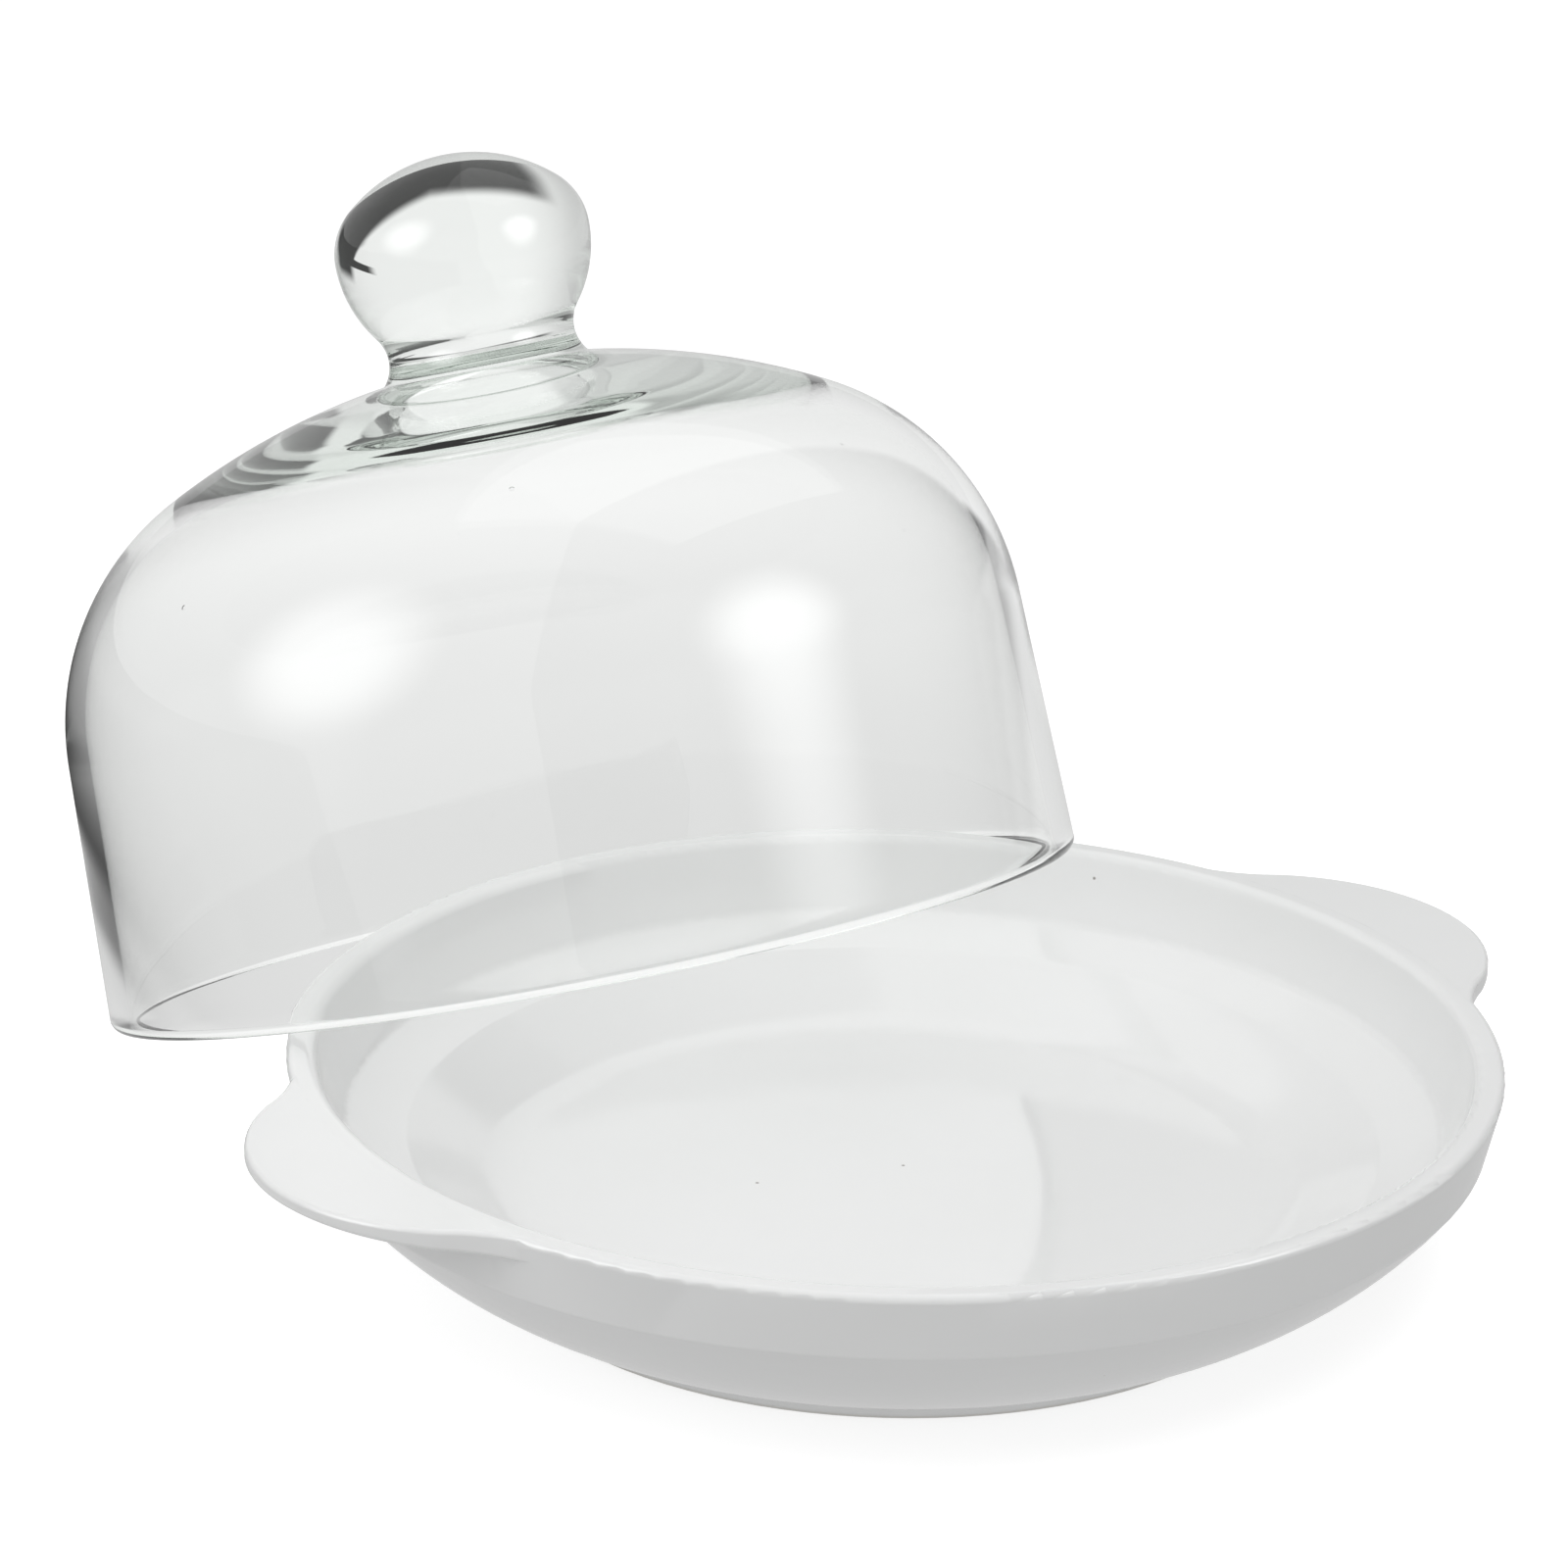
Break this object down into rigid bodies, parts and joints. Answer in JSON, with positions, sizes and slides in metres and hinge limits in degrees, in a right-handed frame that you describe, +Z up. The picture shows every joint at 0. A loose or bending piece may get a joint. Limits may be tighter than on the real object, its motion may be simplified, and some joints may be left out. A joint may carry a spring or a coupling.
{
  "type": "cheese dome",
  "caption": "Round glazed dish with flat lug handles, and a clear glass bell with a solid knob that leans against its lip and lifts off.",
  "frame": {"origin": "centre of the dish's foot ring, in the plane it stands on", "axes": "+Z up along the dish's axis; +X through the middle of one lug handle; the bell leans towards +Y"},
  "size_m": [0.255, 0.3094, 0.1772],
  "materials": {
    "porcelain": "clear gloss glaze, bare foot ring",
    "bell_glass": "clear polished soda-lime glass",
    "knob_glass": "clear polished solid glass"
  },
  "bodies": {
    "dish": {"porcelain_dish": "porcelain"},
    "dome": {"glass_bell": "bell_glass", "glass_knob": "knob_glass"}
  },
  "joints": [
    {"name": "dome_lift", "type": "slide", "parent": "dish", "child": "dome", "axis": [0, 0, 1], "range_m": [0, 0.15]}
  ]
}
